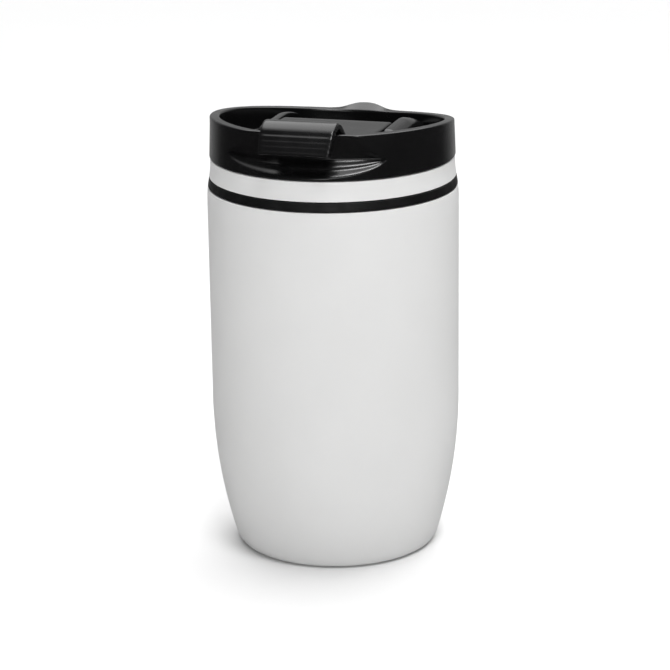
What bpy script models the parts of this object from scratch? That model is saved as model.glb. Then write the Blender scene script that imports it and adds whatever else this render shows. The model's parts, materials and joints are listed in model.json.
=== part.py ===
"""Insulated travel tumbler with a screw-on lid and a flip-up drinking lever.

Sizes below are in millimetres; the mesh builders convert them to metres. The cup stands on
z = 0 about the Z axis, the drinking side faces -Y and the lever's hinge runs along X.
"""

import math

import bmesh
import bpy
from mathutils import Vector

MM = 0.001
GAP = 0.3                  # clearance left between pieces that touch
SEGMENTS = 48              # facets round a plain turned piece
LID_SEGMENTS = 64          # facets round the lid, whose scoop needs more

# Cup body
BODY_R = 42.3              # straight part of the outer shell
BELLY_Z = 52.0             # below this height the side curves in towards the base
BELLY_ARC_R = 172.0
SHELL_WALL = 1.8
HEM_IN_R = 30.0            # inner radius of the foot hem
HEM_OUT_R = 32.3
FOOT_FILLET_Z = 2.4
RIB_TOP_Z = 6.0            # rib inside the hem that holds the base cap
SHELL_TOP_Z = 125.4
SHELL_TOP_R = 42.03
FLARE_Z = 120.0            # above this height the side leans in a little
NECK_TUBE_R = 39.2         # outer radius of the collar's tube inside the shell
CAP_R = HEM_IN_R - GAP
CAP_UNDER_Z = 1.0
CAP_WALL = 1.8
CAP_SKIRT_TOP_Z = 7.0
CAP_SKIRT_WALL = 1.5
PAD_R = 26.0
PAD_TOP_Z = 0.7

# Steel liner and the white collar above the shell
LINER_R = 36.0             # outer radius of the straight part
LINER_WALL = 1.0
LINER_FLOOR_Z = 8.5
LINER_FLANGE_TOP_Z = 122.0
LINER_FLANGE_R = 38.9
LINER_INSET = BODY_R - LINER_R
LINER_CORNER_Z = 15.0
LINER_SEAL = (36.4, 38.6, 122.3, 123.3)        # inner r, outer r, bottom z, top z
COLLAR_BORE_R = 37.2
COLLAR_BOTTOM_Z = 123.6
COLLAR_BAND = ((41.5, 128.9), (41.29, 129.9), (41.12, 131.3), (41.0, 132.5), (41.0, 135.0))
COLLAR_TOP_Z = 135.5
GASKET_SEAT_R = 38.7
GASKET_SEAT_Z = 133.8
TRIM_RING = (39.5, 42.0, 125.7, 128.6)         # inner r, outer r, bottom z, top z
TRIM_RING_TOP_R = 41.5

# Lid
LID_BOTTOM_Z = 135.8
LID_BOTTOM_R = 41.25
LID_TOP_R = 40.8
LID_TAPER_TOP_Z = 147.0
LID_BORE_R = 37.5
LID_MIN_WALL = 1.6
LID_LIP_IN_R = 39.6
DECK_Z = 138.2
DECK_UNDER_Z = 136.4
RIM_MEAN_Z = 147.5
RIM_TILT = 3.85            # the rim is high at the drinking side and low at the back
RIM_SADDLE = 1.07
THUMB_TAB = (2.2, 0.17, 1.5)                   # height, half-width in radians, how far it sticks out
SCOOP_HALF_ANGLE = math.radians(41.0)
SCOOP_CREASE_Z = 141.9
SCOOP_LOWER = 5.7
SCOOP_UPPER = 20.0
SCOOP_DEPTH = 5.0
SCOOP_RIPPLE = 0.03       # two scallops on the scoop's lower face, as a part of its depth
PLUG_RING = (31.9, 33.4, 131.0)                # ring that plugs into the insert: inner r, outer r, end z
GASKET = (35.7, 38.4, 134.1, 136.1)

# Lid insert: the threaded, insulated lower half of the lid
INSERT_R = 35.3
INSERT_TOP_Z = 136.1
INSERT_BORE_R = 33.7
INSERT_LEDGE_Z = 128.7
INSERT_LEDGE_R = 31.6
INSERT_UNDER_Z = 123.4
INSERT_FLOOR_Z = 125.0
INSERT_SEAL = (31.9, 33.4, 129.0, 130.7)

# Two-start thread between collar and insert
THREAD_LEAD = 8.0
THREAD_STARTS = 2
THREAD_SPAN = math.radians(240.0)
THREAD_HALF_ROOT = 0.85
THREAD_HALF_CREST = 0.45
THREAD_EMBED = 0.4
INSERT_CREST_R = 36.7
COLLAR_CREST_R = 35.85
INSERT_THREAD_Z = 125.9
COLLAR_THREAD_Z = INSERT_THREAD_Z + THREAD_LEAD / THREAD_STARTS / 2

# Lever, hinge and the two stoppers under the lever
HINGE_Y = 5.0
HINGE_Z = 143.0
BARREL_R = 2.9
PIN_R = 1.2
PIN_BORE_R = 1.5
PIN_HALF = 22.6
LEVER_HALF = 18.9
LEVER_TOP_Z = 146.0
LEVER_SKIN = 2.2
HOOK_HALF = 12.4
EAR_IN_X = 19.6
EAR_OUT_X = 25.0
EAR_FRONT_Y = -9.0
EAR_BACK_Y = 31.0
DRINK_Y = -25.0
DRINK_HOLE = (7.0, 3.5)                        # half width and half depth of the oval hole
SPOUT_WALL = 1.2
SPOUT_END_Z = 127.0
VENT_Y = -9.0
VENT_R = 1.5
VENT_TUBE_R = 2.7
VENT_TUBE_END_Z = 125.3
POST_R = 2.6
POST_END_Z = 138.8
VENT_POST_R = 1.2
VENT_POST_END_Z = 139.2


def clear_scene():
    for obj in list(bpy.data.objects):
        bpy.data.objects.remove(obj, do_unlink=True)


def material(name, colour, roughness, metallic=0.0):
    mat = bpy.data.materials.get(name) or bpy.data.materials.new(name)
    mat.use_nodes = True
    shader = mat.node_tree.nodes["Principled BSDF"]
    shader.inputs["Base Color"].default_value = (*colour, 1.0)
    shader.inputs["Roughness"].default_value = roughness
    shader.inputs["Metallic"].default_value = metallic
    mat.diffuse_color = (*colour, 1.0)
    return mat


def white_plastic():
    return material("white_plastic", (0.80, 0.80, 0.80), 0.38)


def black_plastic():
    return material("black_plastic", (0.015, 0.015, 0.016), 0.30)


def black_silicone():
    return material("black_silicone", (0.020, 0.020, 0.021), 0.55)


def clear_silicone():
    return material("clear_silicone", (0.62, 0.63, 0.62), 0.50)


def steel():
    return material("steel", (0.62, 0.62, 0.63), 0.28, 1.0)


def around(radius, phi, z):
    """A point at the given radius and height; phi is measured from the drinking side."""
    return Vector((radius * math.sin(phi), -radius * math.cos(phi), z))


def add_object(name, bm, mat, origin=(0.0, 0.0, 0.0)):
    """Turns millimetre geometry into a named object whose origin is at the given point."""
    shift = Vector(origin)
    for vert in bm.verts:
        vert.co = (vert.co - shift) * MM
    bmesh.ops.recalc_face_normals(bm, faces=bm.faces)
    mesh = bpy.data.meshes.new(name)
    bm.to_mesh(mesh)
    bm.free()
    mesh.shade_smooth()
    mesh.set_sharp_from_angle(angle=math.radians(35.0))
    obj = bpy.data.objects.new(name, mesh)
    obj.location = shift * MM
    bpy.context.scene.collection.objects.link(obj)
    obj.data.materials.append(mat)
    return obj


def helper(obj):
    """Marks an object as a tool of a Boolean."""
    obj.hide_render = True
    obj.display_type = "WIRE"
    return obj


def boolean(target, tool, operation):
    helper(tool)
    modifier = target.modifiers.new(operation.lower() + "_" + tool.name, "BOOLEAN")
    modifier.operation = operation
    modifier.solver = "EXACT"
    modifier.object = tool


def lathe(name, outline, mat, segments=SEGMENTS):
    """A turned solid. outline(phi) gives the closed section as (radius, z) points; a section
    that starts and ends on the axis closes there in two poles."""
    bm = bmesh.new()
    rings = []
    on_axis = outline(0.0)[0][0] == 0.0
    poles = []
    if on_axis:
        ends = outline(0.0)
        poles = [bm.verts.new((0, 0, ends[0][1])), bm.verts.new((0, 0, ends[-1][1]))]
    for i in range(segments):
        phi = 2.0 * math.pi * i / segments
        points = outline(phi)
        if on_axis:
            points = points[1:-1]
        rings.append([bm.verts.new(around(r, phi, z)) for r, z in points])
    count = len(rings[0])
    for i in range(segments):
        here, there = rings[i], rings[(i + 1) % segments]
        if on_axis:
            bm.faces.new((poles[0], here[0], there[0]))
            bm.faces.new((poles[1], there[-1], here[-1]))
        for j in range(count - 1 if on_axis else count):
            k = (j + 1) % count
            bm.faces.new((here[j], here[k], there[k], there[j]))
    return add_object(name, bm, mat)


def turned(name, points, mat, segments=SEGMENTS):
    return lathe(name, lambda phi: points, mat, segments)


def ring(name, size, mat):
    """A plain rectangular ring from (inner r, outer r, bottom z, top z)."""
    inner, outer, bottom, top = size
    return turned(name, [(inner, bottom), (outer, bottom), (outer, top), (inner, top)], mat)


def loft(name, sections, mat, origin=(0.0, 0.0, 0.0)):
    """A solid through sections of equal point count, closed at both ends."""
    bm = bmesh.new()
    rows = [[bm.verts.new(point) for point in section] for section in sections]
    count = len(rows[0])
    for here, there in zip(rows, rows[1:]):
        for j in range(count):
            k = (j + 1) % count
            bm.faces.new((here[j], here[k], there[k], there[j]))
    bm.faces.new(rows[0])
    bm.faces.new(rows[-1])
    return add_object(name, bm, mat, origin)


def oval_points(half_x, half_y, centre_y, z, count=20):
    """A stadium outline: two half circles joined by straight sides along X."""
    straight = half_x - half_y
    points = []
    for i in range(count):
        angle = 2.0 * math.pi * (i + 0.5) / count
        side = math.copysign(straight, math.cos(angle))
        points.append((side + half_y * math.cos(angle), centre_y + half_y * math.sin(angle), z))
    return points


def oval_column(name, half_x, half_y, centre_y, bottom, top, mat):
    sections = [oval_points(half_x, half_y, centre_y, z) for z in (bottom, top)]
    return loft(name, sections, mat)


def post(name, radius, centre_y, bottom, top, mat, count=16):
    return loft(name, [[(radius * math.cos(2 * math.pi * i / count),
                         centre_y + radius * math.sin(2 * math.pi * i / count), z)
                        for i in range(count)] for z in (bottom, top)], mat)


def rod(name, radius, half_length, mat, count=16, origin=(0.0, 0.0, 0.0)):
    """A round rod along the hinge axis."""
    return loft(name, [[(x, HINGE_Y + radius * math.cos(2 * math.pi * i / count),
                         HINGE_Z + radius * math.sin(2 * math.pi * i / count))
                        for i in range(count)] for x in (-half_length, half_length)], mat, origin)


def thread_ridge(name, root, crest, start_z, start, mat):
    """One ridge of the thread, lying on a wall of radius root and reaching to radius crest."""
    inward = -1.0 if crest < root else 1.0
    steps = round(THREAD_SPAN / (2.0 * math.pi / SEGMENTS))
    sections = []
    for i in range(steps + 1):
        phi = start + THREAD_SPAN * i / steps
        z = start_z + THREAD_LEAD * (phi - start) / (2.0 * math.pi)
        run_out = min(1.0, (min(i, steps - i) + 0.4) / 2.0)
        tip = root + (crest - root) * run_out
        foot = root - inward * THREAD_EMBED
        sections.append([around(foot, phi, z - THREAD_HALF_ROOT), around(foot, phi, z + THREAD_HALF_ROOT),
                         around(tip, phi, z + THREAD_HALF_CREST), around(tip, phi, z - THREAD_HALF_CREST)])
    return loft(name, sections, mat)


def add_thread(target, root, crest, start_z, mat):
    for start in range(THREAD_STARTS):
        angle = 2.0 * math.pi * start / THREAD_STARTS
        ridge = thread_ridge(f"{target.name}_thread_{start + 1}", root, crest, start_z, angle, mat)
        boolean(target, ridge, "UNION")


def body_radius(z):
    """Outer radius of the cup at a height."""
    if z < BELLY_Z:
        drop = BELLY_Z - z
        return BODY_R - (BELLY_ARC_R - math.sqrt(BELLY_ARC_R ** 2 - drop ** 2))
    if z <= FLARE_Z:
        return BODY_R
    part = (z - FLARE_Z) / (SHELL_TOP_Z - FLARE_Z)
    return BODY_R + (SHELL_TOP_R - BODY_R) * part ** 2


def outer_shell():
    rise = [FOOT_FILLET_Z + (BELLY_Z - FOOT_FILLET_Z) * i / 6 for i in range(7)]
    inner = [BELLY_Z - (BELLY_Z - RIB_TOP_Z) * i / 4 for i in range(4)]
    foot = [(HEM_IN_R, 0.0), (HEM_OUT_R, 0.0), (body_radius(0.6) - 0.7, 0.6)]
    outside = [(body_radius(z), z) for z in rise + [FLARE_Z, 123.0, SHELL_TOP_Z]]
    top = [(NECK_TUBE_R + GAP, SHELL_TOP_Z), (NECK_TUBE_R + GAP, SHELL_TOP_Z - 1.2),
           (BODY_R - SHELL_WALL, FLARE_Z - 1.0)]
    inside = [(body_radius(z) - SHELL_WALL, z) for z in inner]
    rib = [(body_radius(4.0) - SHELL_WALL, 4.0), (HEM_OUT_R, SHELL_WALL), (HEM_IN_R + 1.4, SHELL_WALL),
           (HEM_IN_R + 1.4, RIB_TOP_Z), (HEM_IN_R, RIB_TOP_Z)]
    return turned("outer_shell", foot + outside + top + inside + rib, white_plastic(), SEGMENTS + 8)


def base_cap():
    top = CAP_UNDER_Z + CAP_WALL
    points = [(0.0, CAP_UNDER_Z), (CAP_R, CAP_UNDER_Z), (CAP_R, CAP_SKIRT_TOP_Z),
              (CAP_R - CAP_SKIRT_WALL, CAP_SKIRT_TOP_Z), (CAP_R - CAP_SKIRT_WALL, top), (0.0, top)]
    return turned("base_cap", points, white_plastic())


def base_pad():
    points = [(0.0, 0.0), (PAD_R, 0.0), (PAD_R, PAD_TOP_Z), (0.0, PAD_TOP_Z)]
    return turned("base_pad", points, black_silicone())


def liner_radius(z):
    return body_radius(min(z, BELLY_Z)) - LINER_INSET


def liner():
    """Drawn steel cup: flat floor, rounded corner, belly parallel to the shell, turned-out lip."""
    corner_r = liner_radius(LINER_CORNER_Z)
    depth = LINER_CORNER_Z - LINER_FLOOR_Z
    corner = [(corner_r - depth + depth * math.sin(t), LINER_CORNER_Z - depth * math.cos(t))
              for t in (0.0, math.pi / 6, math.pi / 3)]
    heights = [LINER_CORNER_Z, 27.0, 39.0, BELLY_Z]
    outside = [(0.0, LINER_FLOOR_Z)] + corner + [(liner_radius(z), z) for z in heights]
    lip_under = LINER_FLANGE_TOP_Z - LINER_WALL
    lip = [(LINER_R, lip_under), (LINER_FLANGE_R, lip_under), (LINER_FLANGE_R, LINER_FLANGE_TOP_Z),
           (LINER_R - LINER_WALL, LINER_FLANGE_TOP_Z)]
    inside = [(liner_radius(z) - LINER_WALL, z) for z in reversed(heights)]
    thin = depth - LINER_WALL
    inner_corner = [(corner_r - depth + thin * math.sin(t), LINER_CORNER_Z - thin * math.cos(t))
                    for t in (math.pi / 3, math.pi / 6, 0.0)]
    middle = [(0.0, LINER_FLOOR_Z + LINER_WALL)]
    return turned("liner", outside + lip + inside + inner_corner + middle, steel())


def neck_collar():
    points = [(COLLAR_BORE_R, COLLAR_BOTTOM_Z), (NECK_TUBE_R, COLLAR_BOTTOM_Z),
              (NECK_TUBE_R, COLLAR_BAND[0][1])]
    points += list(COLLAR_BAND)
    points += [(COLLAR_BAND[-1][0] - 0.5, COLLAR_TOP_Z), (GASKET_SEAT_R, COLLAR_TOP_Z),
               (GASKET_SEAT_R, GASKET_SEAT_Z), (COLLAR_BORE_R, GASKET_SEAT_Z)]
    collar = turned("neck_collar", points, white_plastic())
    add_thread(collar, COLLAR_BORE_R, COLLAR_CREST_R, COLLAR_THREAD_Z, white_plastic())
    return collar


def trim_ring():
    inner, outer, bottom, top = TRIM_RING
    points = [(inner, bottom), (outer, bottom), (TRIM_RING_TOP_R, top), (inner, top)]
    return turned("trim_ring", points, black_silicone())


def rim_height(phi):
    """Height of the lid's rim: high in front and low behind."""
    return RIM_MEAN_Z + RIM_TILT * math.cos(phi) - RIM_SADDLE * math.cos(2.0 * phi)


def thumb_tab(phi):
    """1 in the middle of the thumb tab at the very back, 0 away from it."""
    return math.exp(-(abs(phi - math.pi) / THUMB_TAB[1]) ** 2.6)


def scoop(phi, z):
    """How far the lid's wall is pressed in under the hook: an almond-shaped finger scoop."""
    side = (math.pi - abs(math.pi - phi)) / SCOOP_HALF_ANGLE
    if side >= 1.0:
        return 0.0
    low = SCOOP_CREASE_Z - SCOOP_LOWER * math.sqrt(1.0 - side ** 2)
    high = SCOOP_CREASE_Z + SCOOP_UPPER * (1.0 - side ** 2) ** 1.35
    if z <= low or z >= high:
        return 0.0
    if z < SCOOP_CREASE_Z:
        part = (z - low) / (SCOOP_CREASE_Z - low)
        shape = part - SCOOP_RIPPLE * math.sin(4.0 * math.pi * part)
    else:
        part = (high - z) / (high - SCOOP_CREASE_Z)
        shape = part * part * (3.0 - 2.0 * part)
    return SCOOP_DEPTH * math.sqrt(1.0 - side ** 2) * max(0.0, shape)


def lid_wall_radius(phi, z):
    part = min(1.0, max(0.0, (z - LID_BOTTOM_Z) / (LID_TAPER_TOP_Z - LID_BOTTOM_Z)))
    rise = min(1.0, max(0.0, (z - LID_BOTTOM_Z) / (rim_height(phi) - LID_BOTTOM_Z)))
    tab = THUMB_TAB[2] * thumb_tab(phi) * rise ** 3
    return LID_BOTTOM_R + (LID_TOP_R - LID_BOTTOM_R) * part - scoop(phi, z) + tab


def lid_section(phi):
    """Section of the lid from the middle of its deck, over the rim, to the middle underneath."""
    rim = rim_height(phi)
    tab_rim = rim + THUMB_TAB[0] * thumb_tab(phi)
    outer = [(lid_wall_radius(phi, z), z) for z in
             [LID_BOTTOM_Z + (tab_rim - 1.0 - LID_BOTTOM_Z) * i / 8 for i in range(9)]]
    top_out = lid_wall_radius(phi, tab_rim - 0.4)
    top_in = min(LID_BORE_R, lid_wall_radius(phi, rim) - LID_MIN_WALL)
    low_in = min(LID_BORE_R, lid_wall_radius(phi, SCOOP_CREASE_Z) - LID_MIN_WALL)
    over = [(top_in, rim - 0.9), (top_in + 0.6, rim), (top_out - 0.8, tab_rim)]
    bowl = [(0.0, DECK_Z), (low_in - 1.0, DECK_Z), (low_in, DECK_Z + 1.0), (low_in, SCOOP_CREASE_Z)]
    ring_in, ring_out, ring_end = PLUG_RING
    under = [(LID_LIP_IN_R, LID_BOTTOM_Z), (LID_LIP_IN_R, DECK_UNDER_Z), (ring_out, DECK_UNDER_Z),
             (ring_out, ring_end), (ring_in, ring_end), (ring_in, DECK_UNDER_Z), (0.0, DECK_UNDER_Z)]
    return bowl + over + list(reversed(outer)) + under


def ear_sections(side):
    """One of the two shoulders that carry the hinge pin, from its front end to the rear wall."""
    sections = []
    for y, top in ((EAR_FRONT_Y, 143.0), (EAR_FRONT_Y + 1.2, 145.2), (-5.0, LEVER_TOP_Z),
                   (12.0, LEVER_TOP_Z), (20.0, 144.6), (26.0, 143.0), (EAR_BACK_Y, 141.2)):
        out_x = min(EAR_OUT_X, math.sqrt((LID_BORE_R + 1.0) ** 2 - y ** 2))
        bottom = DECK_Z - 0.8
        points = [(EAR_IN_X, bottom), (out_x, bottom), (out_x, top - 3.6), (out_x - 1.0, top - 1.4),
                  (out_x - 2.6, top - 0.3), (EAR_IN_X, top)]
        sections.append([(side * x, y, z) for x, z in points])
    return sections


def lid_shell():
    mat = black_plastic()
    lid = lathe("lid_shell", lid_section, mat, LID_SEGMENTS)
    for side, word in ((-1.0, "left"), (1.0, "right")):
        boolean(lid, loft(f"lid_ear_{word}", ear_sections(side), mat), "UNION")
    half_x, half_y = DRINK_HOLE
    spout = oval_column("lid_spout", half_x + SPOUT_WALL, half_y + SPOUT_WALL, DRINK_Y,
                        SPOUT_END_Z, DECK_Z - 0.6, mat)
    boolean(lid, spout, "UNION")
    boolean(lid, post("lid_vent_tube", VENT_TUBE_R, VENT_Y, VENT_TUBE_END_Z, DECK_Z - 0.6, mat), "UNION")
    hole = oval_column("lid_spout_hole", half_x, half_y, DRINK_Y, SPOUT_END_Z - 1.0, DECK_Z + 1.0, mat)
    boolean(lid, hole, "DIFFERENCE")
    vent_hole = post("lid_vent_hole", VENT_R, VENT_Y, VENT_TUBE_END_Z - 1.0, DECK_Z + 1.0, mat)
    boolean(lid, vent_hole, "DIFFERENCE")
    boolean(lid, rod("lid_pin_hole", PIN_BORE_R, PIN_HALF + 0.6, mat), "DIFFERENCE")
    return lid


def lid_insert():
    mat = black_plastic()
    points = [(0.0, INSERT_UNDER_Z), (INSERT_R - 1.0, INSERT_UNDER_Z), (INSERT_R, INSERT_UNDER_Z + 1.0),
              (INSERT_R, INSERT_TOP_Z), (INSERT_BORE_R, INSERT_TOP_Z), (INSERT_BORE_R, INSERT_LEDGE_Z),
              (INSERT_LEDGE_R, INSERT_LEDGE_Z), (INSERT_LEDGE_R, INSERT_FLOOR_Z), (0.0, INSERT_FLOOR_Z)]
    insert = turned("lid_insert", points, mat)
    add_thread(insert, INSERT_R, INSERT_CREST_R, INSERT_THREAD_Z, mat)
    half_x, half_y = DRINK_HOLE
    hole = oval_column("insert_drink_hole", half_x, half_y, DRINK_Y, INSERT_UNDER_Z - 1.0,
                       INSERT_FLOOR_Z + 1.0, mat)
    boolean(insert, hole, "DIFFERENCE")
    vent = post("insert_vent_hole", VENT_R, VENT_Y, INSERT_UNDER_Z - 1.0, INSERT_FLOOR_Z + 1.0, mat)
    boolean(insert, vent, "DIFFERENCE")
    return insert


def spout_grommet():
    """Oval silicone washer between the insert's floor and the end of the lid's spout."""
    mat = black_silicone()
    half_x, half_y = DRINK_HOLE
    bottom, top = INSERT_FLOOR_Z + GAP, SPOUT_END_Z - GAP
    grommet = oval_column("spout_grommet", half_x + SPOUT_WALL, half_y + SPOUT_WALL, DRINK_Y,
                          bottom, top, mat)
    boolean(grommet, oval_column("grommet_hole", half_x, half_y, DRINK_Y, bottom - 1.0, top + 1.0, mat),
            "DIFFERENCE")
    return grommet


LEVER_STATIONS = (
    # y, top z, half width, skin thickness, skirt depth, lean of the top face in degrees
    (7.4, 145.2, LEVER_HALF, 1.6, 0.5, -25.0),
    (5.0, LEVER_TOP_Z, LEVER_HALF, LEVER_SKIN, 0.8, 0.0),
    (-4.0, LEVER_TOP_Z, LEVER_HALF, LEVER_SKIN, 3.4, 0.0),
    (-12.0, LEVER_TOP_Z, 18.2, LEVER_SKIN, 3.4, 0.0),
    (-19.0, LEVER_TOP_Z, 15.4, LEVER_SKIN, 3.4, 0.0),
    (-24.2, 146.5, 13.4, LEVER_SKIN, 2.2, -12.0),
    (-26.8, 148.6, 12.8, 2.1, 0.6, -42.0),
    (-29.2, 151.3, 12.5, 2.0, 0.4, -43.0),
    (-32.0, 153.3, HOOK_HALF, 2.0, 0.3, -20.0),
    (-35.5, 153.9, HOOK_HALF, 1.9, 0.3, 6.0),
    (-39.0, 152.4, HOOK_HALF, 1.8, 0.3, 40.0),
    (-41.4, 149.8, 12.3, 1.7, 0.3, 62.0),
    (-43.0, 147.2, 12.1, 1.6, 0.3, 67.0),
    (-44.2, 144.9, 11.8, 1.5, 0.3, 70.0),
)


def lever_section(y, top, half, skin, skirt, lean):
    """Inverted shallow channel: a skin with a skirt down each side, square to the local top face."""
    normal = Vector((0.0, -math.sin(math.radians(lean)), math.cos(math.radians(lean))))
    rim = 1.4
    outline = ((-half, skin + skirt), (-half, 0.6), (-half + 0.6, 0.0), (half - 0.6, 0.0), (half, 0.6),
               (half, skin + skirt), (half - rim, skin + skirt), (half - rim, skin),
               (-half + rim, skin), (-half + rim, skin + skirt))
    return [Vector((x, y, top)) - normal * depth for x, depth in outline]


def flip_lever():
    mat = black_plastic()
    pivot = (0.0, HINGE_Y, HINGE_Z)
    lever = loft("flip_lever", [lever_section(*station) for station in LEVER_STATIONS], mat, pivot)
    boolean(lever, rod("lever_barrel", BARREL_R, LEVER_HALF, mat), "UNION")
    under = LEVER_TOP_Z - 1.0
    boolean(lever, post("lever_drink_post", POST_R, DRINK_Y, POST_END_Z, under, mat), "UNION")
    boolean(lever, post("lever_vent_post", VENT_POST_R, VENT_Y, VENT_POST_END_Z, under, mat), "UNION")
    boolean(lever, rod("lever_bore", PIN_BORE_R, LEVER_HALF + 2.0, mat), "DIFFERENCE")
    return lever


def hinge_pin():
    return rod("hinge_pin", PIN_R, PIN_HALF, steel(), origin=(0.0, HINGE_Y, HINGE_Z))


def drink_stopper():
    """Silicone stopper that closes the drinking hole, pushed over a post under the lever."""
    mat = clear_silicone()
    half_x, half_y = DRINK_HOLE
    top = DECK_Z + 3.3
    sections = [oval_points(half_x - 0.7, half_y - 0.6, DRINK_Y, 137.2),
                oval_points(half_x - 0.5, half_y - 0.5, DRINK_Y, DECK_Z + GAP),
                oval_points(half_x + 1.5, half_y + 1.5, DRINK_Y, DECK_Z + GAP),
                oval_points(half_x + 1.5, half_y + 1.5, DRINK_Y, top)]
    stopper = loft("drink_stopper", sections, mat)
    socket = post("drink_stopper_socket", POST_R + GAP, DRINK_Y, POST_END_Z - GAP, top + 1.0, mat)
    boolean(stopper, socket, "DIFFERENCE")
    return stopper


def vent_stopper():
    mat = clear_silicone()
    top = DECK_Z + 3.3

    def circle(radius, z):
        return oval_points(radius, radius, VENT_Y, z, 16)

    sections = [circle(0.9, 137.5), circle(1.05, DECK_Z + GAP), circle(2.8, DECK_Z + GAP), circle(2.8, top)]
    stopper = loft("vent_stopper", sections, mat)
    socket = post("vent_stopper_socket", VENT_POST_R + GAP, VENT_Y, VENT_POST_END_Z - GAP, top + 1.0, mat)
    boolean(stopper, socket, "DIFFERENCE")
    return stopper


def build():
    clear_scene()
    outer_shell()
    base_cap()
    base_pad()
    liner()
    ring("liner_gasket", LINER_SEAL, black_silicone())
    neck_collar()
    trim_ring()
    lid_shell()
    lid_insert()
    ring("insert_seal", INSERT_SEAL, black_silicone())
    spout_grommet()
    ring("lid_gasket", GASKET, black_silicone())
    flip_lever()
    hinge_pin()
    drink_stopper()
    vent_stopper()


build()
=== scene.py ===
"""Looks of the insulated travel tumbler: fine meshes, procedural materials, studio and camera.

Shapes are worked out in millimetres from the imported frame's boxes and joints, and the mesh
builders convert them to metres. Angles round the axis (phi) start at the drinking side, -Y.
"""
import json
import math

import bmesh
import bpy
from mathutils import Matrix, Vector


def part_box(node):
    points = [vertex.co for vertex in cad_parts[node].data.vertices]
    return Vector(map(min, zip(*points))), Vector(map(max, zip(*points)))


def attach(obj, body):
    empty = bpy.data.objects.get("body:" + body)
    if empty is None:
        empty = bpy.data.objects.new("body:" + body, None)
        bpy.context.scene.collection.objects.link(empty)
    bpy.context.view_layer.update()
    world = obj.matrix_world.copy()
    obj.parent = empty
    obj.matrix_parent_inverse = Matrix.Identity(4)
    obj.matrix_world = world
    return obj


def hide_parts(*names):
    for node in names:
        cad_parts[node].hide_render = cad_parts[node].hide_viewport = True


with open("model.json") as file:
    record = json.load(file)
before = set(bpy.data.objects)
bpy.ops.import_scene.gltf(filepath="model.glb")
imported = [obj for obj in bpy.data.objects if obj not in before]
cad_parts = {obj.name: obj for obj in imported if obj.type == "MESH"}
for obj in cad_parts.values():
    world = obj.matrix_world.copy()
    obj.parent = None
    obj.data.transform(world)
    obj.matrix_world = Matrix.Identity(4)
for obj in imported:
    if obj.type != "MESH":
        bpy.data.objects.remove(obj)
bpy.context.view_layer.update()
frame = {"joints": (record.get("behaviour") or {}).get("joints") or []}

MM = 0.001
GAP = 0.3                  # clearance between neighbouring solids
PAST = 1.0                 # how far a cutter runs past the wall it cuts
FINE = 256                 # facets round the cup
LID_FINE = 480             # facets round the lid
ARC_SHARE = 0.48           # most of a side that one rounded corner may take
SHARP = math.radians(40.0)       # edges sharper than this stay crisp
CUT_SHARP = math.radians(30.0)   # the same on a piece that was joined or cut


def box_mm(node):
    low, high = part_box(node)
    return Vector(low) / MM, Vector(high) / MM


def hinge_of(name):
    found = next(j for j in frame["joints"] if j["name"] == name)
    return Vector(found["pos_m"]) / MM


# ------------------------------------------------------------------ dimensions from the frame

_, SHELL_HIGH = box_mm("outer_shell")
COLLAR_LOW, COLLAR_HIGH = box_mm("neck_collar")
RING_LOW, RING_HIGH = box_mm("trim_ring")
LINER_LOW, LINER_HIGH = box_mm("liner")
LINER_SEAL_LOW, LINER_SEAL_HIGH = box_mm("liner_gasket")
LID_LOW, LID_HIGH = box_mm("lid_shell")
INSERT_LOW, INSERT_HIGH = box_mm("lid_insert")
INSERT_SEAL_LOW, INSERT_SEAL_HIGH = box_mm("insert_seal")
GASKET_LOW, GASKET_HIGH = box_mm("lid_gasket")
GROMMET_LOW, GROMMET_HIGH = box_mm("spout_grommet")
CAP_LOW, CAP_HIGH = box_mm("base_cap")
_, PAD_HIGH = box_mm("base_pad")
PIN_LOW, PIN_HIGH = box_mm("hinge_pin")
_, LEVER_HIGH = box_mm("flip_lever")
DRINK_LOW, DRINK_HIGH = box_mm("drink_stopper")
VENT_LOW, VENT_HIGH = box_mm("vent_stopper")
HINGE = hinge_of("lever_flip")

BODY_R = SHELL_HIGH.x
SHELL_TOP = SHELL_HIGH.z
SHELL_TOP_R = BODY_R - 0.27
FLARE_Z = SHELL_TOP - 5.4
BELLY_Z = 52.0
BELLY_ARC_R = 172.0
SHELL_WALL = 1.8
HEM_IN_R = CAP_HIGH.x + GAP
HEM_OUT_R = HEM_IN_R + 2.3
FOOT_FILLET = 2.4
RIB_TOP = 6.0
NECK_TUBE_R = 39.2

LINER_R = 36.0
LINER_WALL = 1.0
LINER_FLOOR = LINER_LOW.z
LINER_LIP = LINER_HIGH.z
LINER_CORNER = LINER_FLOOR + 6.5

COLLAR_R = COLLAR_HIGH.x
COLLAR_TOP = COLLAR_HIGH.z
COLLAR_BORE_R = 37.2
SEAT_R = 38.7
SEAT_Z = GASKET_LOW.z - GAP

LID_BOTTOM = COLLAR_TOP + GAP
LID_BOTTOM_R = LID_HIGH.x
LID_TOP_R = LID_BOTTOM_R - 0.45
LID_TAPER_TOP = LID_BOTTOM + 11.2
LID_BORE_R = 37.5
LID_MIN_WALL = 1.6
LIP_IN_R = 39.6
DECK = LID_BOTTOM + 2.4
DECK_UNDER = LID_BOTTOM + 0.6
RIM_MEAN = LID_BOTTOM + 11.7
RIM_TILT = 3.85
RIM_SADDLE = 1.07
TAB_RISE, TAB_WIDTH, TAB_REACH = 2.2, 0.17, 1.5
TAB_SHOULDER = 2.6
SCOOP_HALF = math.radians(41.0)
CREASE_Z = LID_BOTTOM + 6.1
SCOOP_LOWER = 5.7
SCOOP_UPPER = 20.0
SCOOP_DEPTH = 5.0
SCOOP_RIPPLE = 0.03
SCOOP_TAPER = 1.35
PLUG_IN_R = INSERT_SEAL_HIGH.x - 1.5
PLUG_OUT_R = INSERT_SEAL_HIGH.x
PLUG_END = LID_LOW.z

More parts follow.
